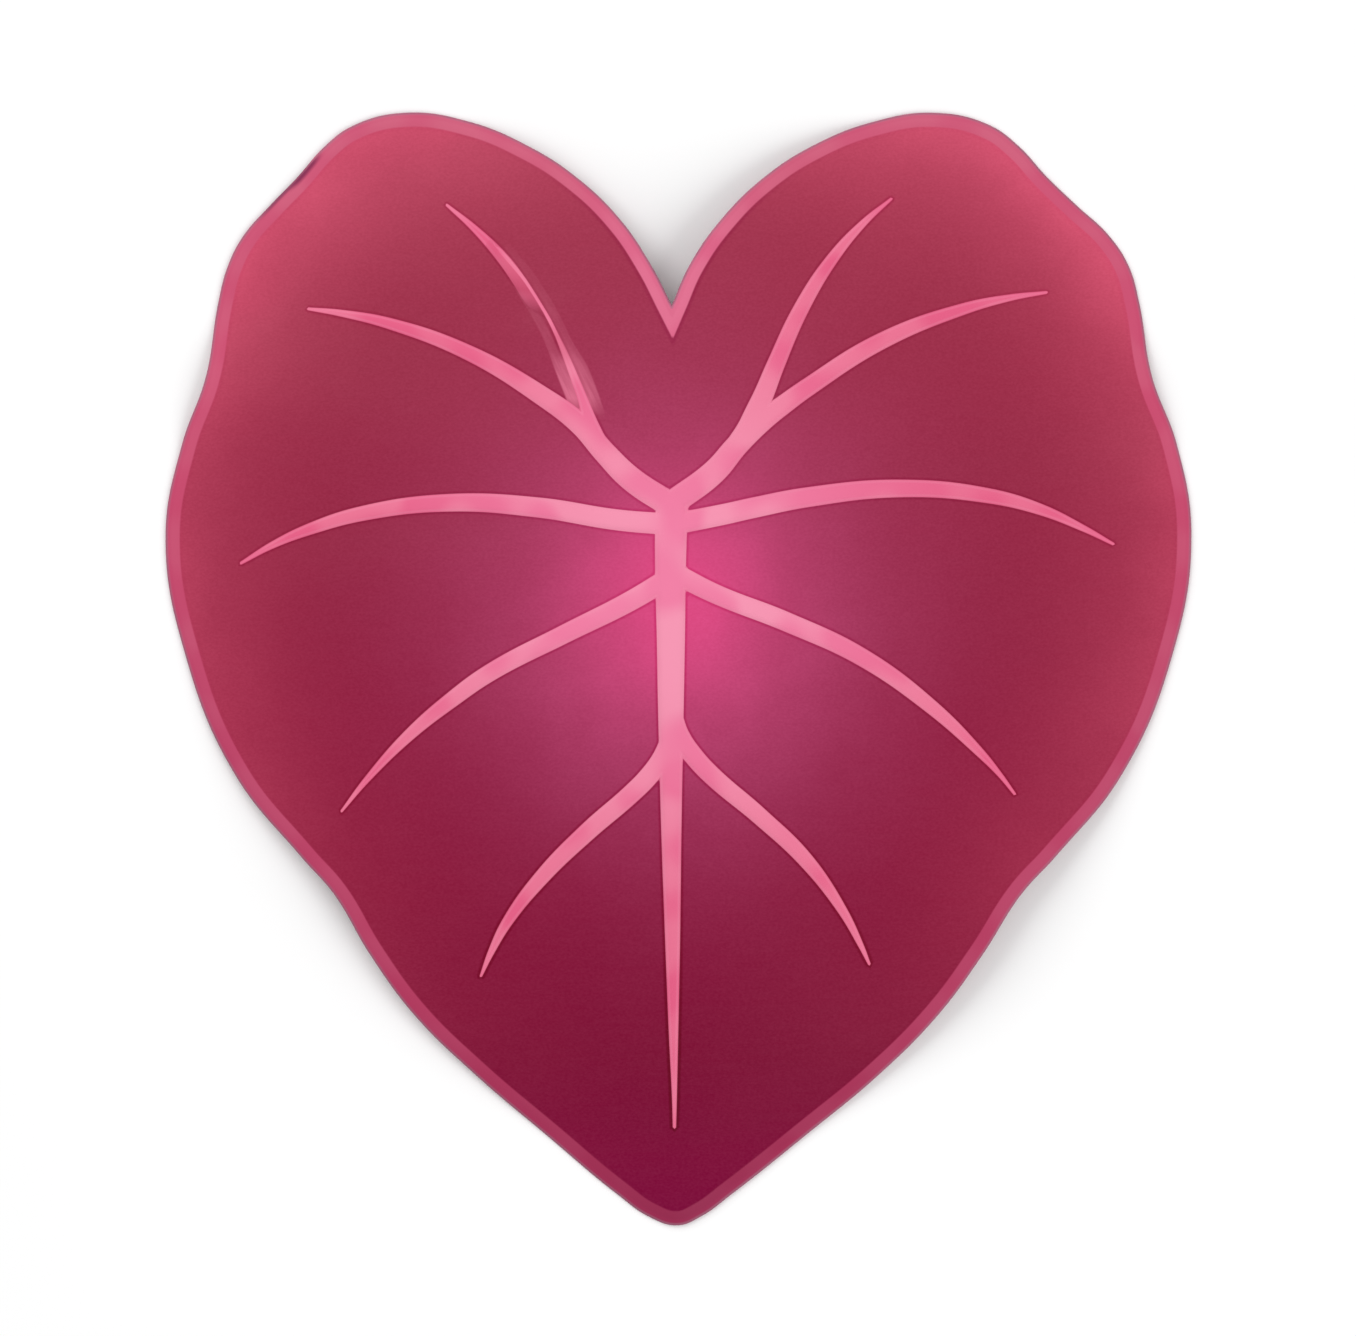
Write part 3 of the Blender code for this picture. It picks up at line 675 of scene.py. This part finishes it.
class Nodes:
    """A material's node tree, with short calls for the nodes that it uses."""

    def __init__(self, name, roughness, specular):
        self.material = bpy.data.materials.new(name)
        self.material.use_nodes = True
        self.tree = self.material.node_tree
        self.shader = self.tree.nodes["Principled BSDF"]
        self.shader.inputs["Roughness"].default_value = roughness
        self.shader.inputs["Specular IOR Level"].default_value = specular
        self.place = self.add("ShaderNodeTexCoord").outputs["Object"]

    def add(self, kind, inputs=(), **settings):
        """A new node with its settings, and what its inputs take: values or other outputs."""
        node = self.tree.nodes.new(kind)
        for name, value in settings.items():
            setattr(node, name, value)
        for socket, value in dict(inputs).items():
            self.put(node.inputs[socket], value)
        return node

    def put(self, socket, value):
        """Link an output to a socket, or set the socket to a value."""
        if isinstance(value, bpy.types.NodeSocket):
            self.tree.links.new(value, socket)
        else:
            socket.default_value = value

    def paint(self, colour):
        """Give the surface its colour."""
        self.put(self.shader.inputs["Base Color"], colour)

    def attribute(self, name):
        """A value that the mesh holds at each point."""
        return self.add("ShaderNodeAttribute", attribute_name=name).outputs["Fac"]

    def math(self, operation, *values):
        """One step of arithmetic."""
        return self.add("ShaderNodeMath", enumerate(values), operation=operation).outputs[0]

    def times(self, first, *others):
        """The product of some values."""
        product = first
        for value in others:
            product = self.math("MULTIPLY", product, value)
        return product

    def slide(self, value, low, high, start=0.0, end=1.0):
        """A smooth change from start to end as the value goes from low to high."""
        inputs = {"Value": value, "From Min": low, "From Max": high, "To Min": start, "To Max": end}
        return self.add("ShaderNodeMapRange", inputs, interpolation_type="SMOOTHSTEP").outputs["Result"]

    def stretched(self, lengths, turn=0.0):
        """Places for a pattern that is as many times longer along each axis as asked, and is
        then turned about Z."""
        inputs = {"Vector": self.place, "Rotation": (0.0, 0.0, turn), "Scale": lengths}
        return self.add("ShaderNodeMapping", inputs, vector_type="TEXTURE").outputs["Vector"]

    def distance(self, middle, half_width, half_length):
        """Distance from a middle, 1 on an ellipse of the given halves."""
        scale = (1.0 / half_width, 1.0 / half_length, 0.0)
        shift = (-middle[0] * scale[0], -middle[1] * scale[1], 0.0)
        moved = self.add("ShaderNodeMapping", {"Vector": self.place, "Location": shift, "Scale": scale})
        length = self.add("ShaderNodeVectorMath", {0: moved.outputs["Vector"]}, operation="LENGTH")
        return length.outputs["Value"]

    def noise(self, size, detail=2.0, vector=None):
        """Soft random values whose patches are about a size across."""
        inputs = {"Vector": vector or self.place, "Scale": 1.0 / size, "Detail": detail}
        return self.add("ShaderNodeTexNoise", inputs).outputs["Fac"]

    def patches(self, size, low, high, detail=2.0, vector=None):
        """Soft random patches about a size across, with values from low to high."""
        return self.slide(self.noise(size, detail, vector), 0.3, 0.7, low, high)

    def ramp(self, value, stops):
        """Colours along a value, each at its own place."""
        node = self.add("ShaderNodeValToRGB", {"Fac": value})
        ramp = node.color_ramp
        while len(ramp.elements) < len(stops):
            ramp.elements.new(1.0)
        for element, (place, colour) in zip(ramp.elements, stops):
            element.position = place
            element.color = colour
        return node.outputs["Color"]

    def profile(self, value, stops):
        """Numbers from 0 to 1 along a value, each at its own place."""
        return self.ramp(value, [(place, grey(number)) for place, number in stops])

    def mix(self, share, first, second, blend="MIX"):
        """One colour over another by a share."""
        node = self.add(
            "ShaderNodeMix", {"Factor": share, 6: first, 7: second},
            data_type="RGBA", blend_type=blend, clamp_result=blend != "MIX")
        return node.outputs[2]

    def bump(self, height, distance, strength):
        """Bend the surface's light by a height."""
        node = self.add("ShaderNodeBump", {"Strength": strength, "Distance": distance, "Height": height})
        self.put(self.shader.inputs["Normal"], node.outputs["Normal"])


def grey(value):
    """A plain grey as light values."""
    return (value, value, value, 1.0)


def along_leaf(nodes):
    """A value from 0 at the tip to 1 at the lobes' ends."""
    node = nodes.add("ShaderNodeSeparateXYZ", {0: nodes.place})
    return nodes.math("ADD", nodes.times(node.outputs["Y"], 0.5 / HALF_LENGTH), 0.5)


def notch_distance(nodes):
    """Distance from the notch, 1 where its surroundings end."""
    return nodes.distance((NOTCH[0] * MM, NOTCH[1] * MM), NOTCH_REACH, NOTCH_REACH)


def dark_patch_share(nodes, middle, reach, strength):
    """How dark a patch at the edge is, from its strength near its middle to nothing at its reach."""
    return nodes.slide(nodes.distance(middle, reach, reach), 1.0, 0.35, 0.0, strength)


def tints(nodes):
    """Soft patches of pink and salmon to multiply a vein's colour by."""
    patches = nodes.slide(nodes.noise(11.0 * MM, detail=0.0), 0.35, 0.65)
    return nodes.mix(patches, (1.02, 1.19, 1.09, 1.0), (0.975, 0.83, 0.91, 1.0))


def rim_colour(nodes, colours, along):
    """The rim's band, palest beside the notch and darkest at the tip, softly mottled. Its darkening
    towards the tip is partly the rim's own colour and partly painted light, as on the blade.
    """
    band = nodes.ramp(along, (
        (0.0, linear(colours.rim_tip)), (0.06, shown(162, 50, 86)), (0.2, shown(182, 63, 99)),
        (0.36, shown(190, 71, 106)), (0.5, linear(colours.rim_side)), (0.72, shown(206, 82, 116)),
        (1.0, linear(colours.rim_lobes))))
    pale = nodes.slide(notch_distance(nodes), 0.1, 1.0, 0.85, 0.0)
    band = nodes.mix(pale, band, shown(229, 112, 147))
    return nodes.mix(0.6, band, tints(nodes), "MULTIPLY")


def rim_with_dark_patches(nodes, colours, along, depth):
    """The rim's band with its deeper outer line, its dull outermost edge and its dark patches."""
    rim = rim_colour(nodes, colours, along)
    rim = nodes.mix(nodes.slide(depth, 1.6, 1.0, 0.0, 0.12), rim, shown(186, 52, 98))
    rim = nodes.mix(nodes.slide(depth, 0.75, 0.25, 0.0, 0.65), rim, shown(168, 112, 134))
    for middle, reach, deep, strength in EDGE_DARK_PATCHES:
        near = dark_patch_share(nodes, middle, reach, strength)
        dark_patch = nodes.times(near, nodes.slide(depth, deep, deep * 0.4))
        rim = nodes.mix(dark_patch, rim, shown(*EDGE_DARK_COLOUR))
    return rim


def blade_ground_and_light(nodes, colours, along, depth):
    """Burgundy that pales to the lobes, with a coral flush beside the rim and a magenta glow
    round the hub. The paling and the flush are partly the leaf's own colour and partly painted
    light, lighter at the lobes and edges and darker towards the tip."""
    # Partly painted light: the blade is lighter towards the lobes and darker towards the tip
    blade = nodes.ramp(along, (
        (0.0, linear(colours.tip)), (0.15, shown(122, 6, 50)), (0.3, linear(colours.belly)),
        (0.45, shown(140, 24, 59)), (0.6, linear(colours.middle)), (0.8, shown(155, 46, 72)),
        (1.0, linear(colours.lobes))))

    # The flush beside the rim is partly painted light as well
    outwards = nodes.slide(nodes.distance(HUB, FLUSH_REACH, FLUSH_REACH), 0.62, 1.34)
    fade = nodes.math("EXPONENT", nodes.times(depth, -1.0 / FLUSH_DEPTH_MM))
    sides = nodes.profile(along, (
        (0.0, 0.01), (0.12, 0.04), (0.25, 0.11), (0.38, 0.25), (0.5, 0.35), (0.72, 0.37), (0.87, 0.63)))
    clouds = nodes.patches(26.0 * MM, 0.85, 1.15, detail=3.0)
    flush = nodes.times(fade, outwards, sides, clouds)
    blade = nodes.mix(flush, blade, linear(colours.flush))

    veil = nodes.patches(17.0 * MM, 0.9, 1.1, detail=3.0)
    for middle, reach, most, colour in (
            (HALO_MIDDLE, HALO_REACH, 0.6, colours.halo), (GLOW_MIDDLE, GLOW_REACH, 0.59, colours.glow)):
        out = nodes.distance(middle, *reach)
        light = nodes.math("EXPONENT", nodes.times(out, out, -1.0))
        blade = nodes.mix(nodes.times(light, most, veil), blade, linear(colour))
    return blade


def painted_shadow_lines(nodes, blade, along, gap, depth, side):
    """The blade with a painted shadow beside each vein, darker and wider towards the tip and calmer
    beside the rubbed vein, and a painted shadow along the rim's inner edge, strongest round the notch."""
    calm = nodes.profile(along, ((0.795, 1.0), (0.81, 0.1), (0.835, 0.1), (0.855, 1.0)))
    calm = nodes.math("MAXIMUM", calm, nodes.slide(side, -0.6, -0.4, 0.0, 0.7))
    calm = nodes.math("MAXIMUM", calm, nodes.slide(side, -3.6, -4.2))
    widening = nodes.slide(along, 0.4, 0.15, 0.0, 0.22)
    # Painted shadow at the foot of each raised vein
    line = nodes.slide(nodes.math("SUBTRACT", gap, widening), 0.25, 0.8, 1.0, 0.0)
    shade = nodes.ramp(along, (
        (0.12, (0.7, 0.1, 0.42, 1.0)), (0.3, (0.82, 0.32, 0.57, 1.0)), (0.6, (0.88, 0.57, 0.76, 1.0))))
    blade = nodes.mix(nodes.times(line, calm), blade, shade, "MULTIPLY")
    # Painted shadow beside the raised rim, strongest round the notch
    rim_shadow = nodes.slide(depth, RIM_MM + 0.2, RIM_MM + 0.9, 0.8, 0.0)
    rim_shadow = nodes.times(rim_shadow, nodes.slide(notch_distance(nodes), 0.5, 1.0, 1.0, 0.2))
    return nodes.mix(rim_shadow, blade, (0.86, 0.56, 0.8, 1.0), "MULTIPLY")


def skin_grain(nodes, blade):
    """The blade with its fine grain and its faint crosswise strokes."""
    grain = nodes.noise(0.45 * MM, detail=1.0, vector=nodes.stretched((1.5, 1.0, 1.0)))
    blade = nodes.mix(0.3, blade, nodes.profile(grain, ((0.3, 0.44), (0.7, 0.56))), "OVERLAY")
    strokes = nodes.noise(1.3 * MM, detail=1.0, vector=nodes.stretched((9.0, 1.0, 1.0)))
    pores = nodes.math("ADD", nodes.times(grain, 0.75), nodes.times(strokes, 0.25))
    pores = nodes.ramp(pores, ((0.3, (0.5, 0.498, 0.4978, 1.0)), (0.7, (0.504, 0.5006, 0.5016, 1.0))))
    return nodes.mix(1.0, blade, pores, "LINEAR_LIGHT")


def vein_colour(nodes, colours, gap):
    """The veins' pink, palest at the hub, in soft patches and with a painted highlight just inside each
    edge.
    """
    outwards = nodes.slide(nodes.distance(GLOW_MIDDLE, VEIN_FADE, VEIN_FADE), 0.1, 1.0)
    vein = nodes.mix(outwards, linear(colours.vein_root), linear(colours.vein_end))
    vein = nodes.mix(1.0, vein, tints(nodes), "MULTIPLY")
    # Painted highlight just inside each vein's edge, where its shoulder would catch the light
    vein_edge_highlight = nodes.times(nodes.slide(gap, -0.8, -0.35), nodes.slide(gap, -0.3, -0.1, 0.2, 0.0))
    return nodes.mix(vein_edge_highlight, vein, shown(252, 158, 188))


def rub(nodes, blade, vein, along, side):
    """The blade and the left inner vein where they are rubbed: the vein's pink is smeared over
    the blade in streaks, its flanks are worn away to the blade, and a painted highlight runs along its
    crest."""
    off = nodes.math("ABSOLUTE", side)
    on_right = nodes.slide(side, -0.2, 0.2)
    spread = nodes.mix(
        on_right, nodes.slide(along, 0.76, 0.8, 3.4, 3.05), nodes.slide(along, 0.765, 0.8, 3.65, 2.5))
    rubbed = nodes.slide(nodes.math("DIVIDE", off, spread), 1.08, 0.94)

    left = nodes.profile(along, (
        (0.725, 0.0), (0.742, 0.78), (0.76, 0.6), (0.774, 0.42), (0.784, 0.16), (0.806, 0.14),
        (0.82, 0.1), (0.835, 0.14), (0.845, 0.0)))
    right = nodes.profile(along, (
        (0.725, 0.0), (0.742, 0.55), (0.76, 0.45), (0.774, 0.4), (0.784, 0.2), (0.8, 0.14),
        (0.83, 0.09), (0.87, 0.07), (0.885, 0.0)))
    apart = nodes.profile(along, ((0.776, 0.0), (0.79, 1.0), (0.818, 1.0), (0.828, 0.0)))
    apart = nodes.mix(apart, grey(1.0), nodes.slide(off, 0.8, 1.5, 0.1, 1.0))
    right = nodes.times(right, nodes.slide(side, 1.2, 3.4, 1.15, 0.75))
    smear = nodes.mix(on_right, nodes.times(left, apart), right)
    lengthwise = nodes.stretched((1.0, 12.0, 1.0), math.radians(27.0))
    streaks = nodes.patches(0.8 * MM, 0.8, 1.2, vector=lengthwise)
    blade = nodes.mix(nodes.times(rubbed, smear, streaks), blade, shown(226, 118, 148))

    crest = nodes.slide(off, 0.55, 0.3)
    flanks = nodes.times(nodes.slide(off, 0.3, 0.55), rubbed)
    narrow = nodes.profile(along, ((0.77, 0.0), (0.783, 0.4), (0.797, 0.4), (0.81, 0.0)))
    wide = nodes.profile(along, ((0.826, 0.0), (0.84, 0.9), (0.86, 0.6), (0.9, 0.0)))
    for part, stretch in ((rubbed, narrow), (flanks, wide)):
        vein = nodes.mix(nodes.times(part, stretch), vein, shown(206, 78, 112))
    # Painted highlight along the rubbed vein's crest
    crest_highlight = nodes.profile(along, ((0.8, 0.0), (0.825, 0.22), (0.86, 0.18), (0.9, 0.0)))
    vein = nodes.mix(nodes.times(crest, crest_highlight), vein, shown(255, 150, 180))
    worn = nodes.profile(along, (
        (0.775, 0.0), (0.79, 0.3), (0.806, 1.0), (0.82, 1.0), (0.827, 0.8), (0.834, 0.42),
        (0.842, 0.16), (0.855, 0.0)))
    return blade, nodes.mix(nodes.times(flanks, worn), vein, blade)


def face_material(colours):
    """The glossy face, with its blade, its pink veins and its rim."""
    nodes = Nodes("leaf_face", 0.42, 0.08)
    along = along_leaf(nodes)
    gap = nodes.attribute("vein_gap_mm")
    depth = nodes.attribute("rim_depth_mm")
    side = nodes.attribute("rubbed_mm")
    blade = blade_ground_and_light(nodes, colours, along, depth)
    blade = skin_grain(nodes, painted_shadow_lines(nodes, blade, along, gap, depth, side))
    blade, vein = rub(nodes, blade, vein_colour(nodes, colours, gap), along, side)
    colour = nodes.mix(nodes.slide(gap, -0.08, 0.12), vein, blade)
    rim = rim_with_dark_patches(nodes, colours, along, depth)
    nodes.paint(nodes.mix(nodes.slide(depth, RIM_MM - 0.4, RIM_MM), rim, colour))
    nodes.put(nodes.shader.inputs["Roughness"], nodes.patches(6.0 * MM, 0.38, 0.47, detail=3.0))
    nodes.bump(nodes.noise(0.7 * MM, detail=3.0), 0.03 * MM, 0.6)
    return nodes.material


def edge_material(colours):
    """The thin rounded edge, a dull grey-purple line round the leaf."""
    nodes = Nodes("leaf_edge", 0.5, 0.2)
    band = rim_colour(nodes, colours, along_leaf(nodes))
    dull = nodes.patches(3.0 * MM, 0.55, 0.75)
    colour = nodes.mix(dull, band, shown(158, 98, 122))
    middle, reach, _, strength = EDGE_DARK_PATCHES[1]
    nodes.paint(nodes.mix(dark_patch_share(nodes, middle, reach, strength), colour, shown(*EDGE_DARK_COLOUR)))
    return nodes.material


def back_material(colours):
    """The dull back, with pale ribs and a faint net of small veins."""
    nodes = Nodes("leaf_back", 0.6, 0.15)
    gap = nodes.attribute("vein_gap_mm")
    depth = nodes.attribute("rim_depth_mm")
    pale = [min(part * 1.14, 1.0) for part in colours.back]
    deep = [part * 0.82 for part in colours.back]
    blade = nodes.ramp(
        along_leaf(nodes), ((0.0, linear(deep)), (0.5, linear(colours.back)), (1.0, linear(pale))))
    inputs = {"Vector": nodes.place, "Scale": 1.0 / (6.5 * MM)}
    cells = nodes.add("ShaderNodeTexVoronoi", inputs, feature="DISTANCE_TO_EDGE")
    net = nodes.slide(cells.outputs["Distance"], 0.0, 0.09, 1.0, 0.0)
    blade = nodes.mix(nodes.times(net, 0.28), blade, linear(colours.rib))
    blade = nodes.mix(nodes.patches(9.0 * MM, 0.0, 0.2, detail=4.0), blade, linear(deep))
    rib = nodes.mix(nodes.patches(5.0 * MM, 0.0, 0.35), linear(colours.rib), blade)
    colour = nodes.mix(nodes.slide(gap, -0.5, 0.3), rib, blade)
    rim = nodes.slide(depth, RIM_MM - 0.8, RIM_MM + 0.2, 0.75, 0.0)
    nodes.paint(nodes.mix(rim, colour, linear(colours.rib)))
    nodes.bump(nodes.math("ADD", net, nodes.times(nodes.noise(0.8 * MM), 0.5)), 0.08 * MM, 0.7)
    return nodes.material


def stalk_material(colours):
    """The stub's skin, ribbed lengthwise and speckled."""
    nodes = Nodes("stalk_skin", 0.5, 0.25)
    threads = nodes.noise(1.1 * MM, vector=nodes.stretched((1.0, 1.0, 8.0)))
    colour = nodes.mix(nodes.slide(threads, 0.35, 0.65), linear(colours.rib), shown(168, 84, 110))
    specks = nodes.slide(nodes.noise(0.6 * MM, detail=1.0), 0.62, 0.7, 0.0, 0.4)
    nodes.paint(nodes.mix(specks, colour, shown(118, 40, 66)))
    nodes.bump(threads, 0.12 * MM, 0.8)
    return nodes.material


def cut_material(colours):
    """The moist cut end, with the ends of the stalk's fibres as dots."""
    nodes = Nodes("stalk_cut", 0.3, 0.4)
    dots = nodes.add("ShaderNodeTexVoronoi", {"Vector": nodes.place, "Scale": 1.0 / (0.8 * MM)})
    spot = nodes.slide(dots.outputs["Distance"], 0.12, 0.26, 0.7, 0.0)
    stain = nodes.slide(nodes.noise(2.0 * MM, detail=3.0), 0.35, 0.65, 0.0, 0.35)
    colour = nodes.mix(stain, linear(colours.cut), shown(196, 132, 124))
    nodes.paint(nodes.mix(spot, colour, shown(172, 104, 108)))
    nodes.bump(nodes.math("SUBTRACT", stain, spot), 0.1 * MM, 0.6)
    return nodes.material


class TAROLEAF_OT_add_leaf(bpy.types.Operator):
    """Model the fine leaf in place of the frame's plain one"""
    bl_idname = "taro_leaf.add_leaf"
    bl_label = "Add Leaf"
    bl_options = {"REGISTER", "UNDO"}

    def execute(self, context):
        bpy.ops.object.select_all(action="DESELECT")
        blade = Blade(context.scene.taro_leaf_sizes)
        colours = context.scene.taro_leaf_colours
        leaf = add_flat_sheet(blade)
        thicken(leaf, blade)
        for maker in (face_material, edge_material, back_material, stalk_material, cut_material):
            leaf.data.materials.append(maker(colours))
        place_points(leaf, blade)
        bpy.ops.object.shade_smooth_by_angle(angle=SHARP_ANGLE)
        spots = np.array([vertex.co for vertex in leaf.data.vertices])
        for made, wanted in zip((spots.min(axis=0), spots.max(axis=0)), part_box("leaf")):
            if np.abs(made - np.array(wanted)).max() > MOST_DIFFERENCE:
                raise RuntimeError("the leaf doesn't fill the same space as the frame's")
        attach(leaf, "root")
        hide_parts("leaf")
        return {"FINISHED"}


def add_floor():
    """The plain pale floor."""
    bpy.ops.mesh.primitive_plane_add(size=FLOOR_SIZE, location=(0.0, 0.0, 0.0))
    floor = bpy.context.active_object
    floor.name = "studio_floor"
    nodes = Nodes("floor_paper", 0.9, 0.1)
    nodes.paint(nodes.mix(nodes.patches(0.35, 0.0, 1.0), grey(0.94), grey(0.96)))
    nodes.bump(nodes.noise(1.2 * MM, detail=3.0), 0.02 * MM, 0.3)
    floor.data.materials.append(nodes.material)


def add_softbox(name, place, power):
    """A large square lamp that faces the leaf."""
    lamp = bpy.data.lights.new(name, "AREA")
    lamp.size = SOFTBOX_SIZE
    lamp.energy = power
    softbox = bpy.data.objects.new(name, lamp)
    softbox.location = place
    softbox.rotation_euler = (-Vector(place)).to_track_quat("-Z", "Y").to_euler()
    bpy.context.scene.collection.objects.link(softbox)


def add_camera():
    """The camera, straight above the leaf with its lobes at the top of the picture."""
    lens = bpy.data.cameras.new("camera")
    lens.lens = CAMERA_LENS
    lens.sensor_width = SENSOR_WIDTH
    camera = bpy.data.objects.new("camera", lens)
    height = LEAF_EDGE_HEIGHT + CAMERA_LENS * PICTURE_WIDTH / SENSOR_WIDTH
    camera.location = (*PICTURE_MIDDLE, height)
    bpy.context.scene.collection.objects.link(camera)
    bpy.context.scene.camera = camera


class TAROLEAF_OT_add_stage(bpy.types.Operator):
    """Add the floor, the soft lights and the camera above the leaf"""
    bl_idname = "taro_leaf.add_stage"
    bl_label = "Add Stage"
    bl_options = {"REGISTER", "UNDO"}

    def execute(self, context):
        bpy.ops.object.select_all(action="DESELECT")
        add_floor()
        add_softbox("key_light", KEY_PLACE, KEY_POWER)
        add_softbox("fill_light", FILL_PLACE, FILL_POWER)
        add_camera()
        world = bpy.data.worlds.new("studio")
        world.use_nodes = True
        background = world.node_tree.nodes["Background"]
        background.inputs["Color"].default_value = grey(1.0)
        background.inputs["Strength"].default_value = SURROUNDING_LIGHT
        context.scene.world = world
        context.scene.view_settings.view_transform = "Standard"
        if context.scene.camera is None:
            raise RuntimeError("the stage has no camera")
        return {"FINISHED"}


class TAROLEAF_PT_panel(bpy.types.Panel):
    """The leaf's sizes and colours, and its steps in order"""
    bl_idname = "TAROLEAF_PT_panel"
    bl_label = "Taro Leaf"
    bl_space_type = "VIEW_3D"
    bl_region_type = "UI"
    bl_category = "Taro Leaf"

    def draw(self, context):
        layout = self.layout
        for settings in (context.scene.taro_leaf_sizes, context.scene.taro_leaf_colours):
            for name in settings.__annotations__:
                layout.prop(settings, name)
        for step in STEPS:
            layout.operator(step.bl_idname)


STEPS = (TAROLEAF_OT_add_leaf, TAROLEAF_OT_add_stage)
CLASSES = (TaroLeafSizes, TaroLeafColours) + STEPS + (TAROLEAF_PT_panel,)


def register():
    """Register the classes and their settings."""
    for kind in CLASSES:
        bpy.utils.register_class(kind)
    bpy.types.Scene.taro_leaf_sizes = PointerProperty(type=TaroLeafSizes)
    bpy.types.Scene.taro_leaf_colours = PointerProperty(type=TaroLeafColours)


def unregister():
    """Take the classes and their settings away."""
    del bpy.types.Scene.taro_leaf_colours
    del bpy.types.Scene.taro_leaf_sizes
    for kind in reversed(CLASSES):
        bpy.utils.unregister_class(kind)


def main():
    """Run the steps in order."""
    register()
    bpy.ops.taro_leaf.add_leaf()
    bpy.ops.taro_leaf.add_stage()


if __name__ == "__main__":
    main()
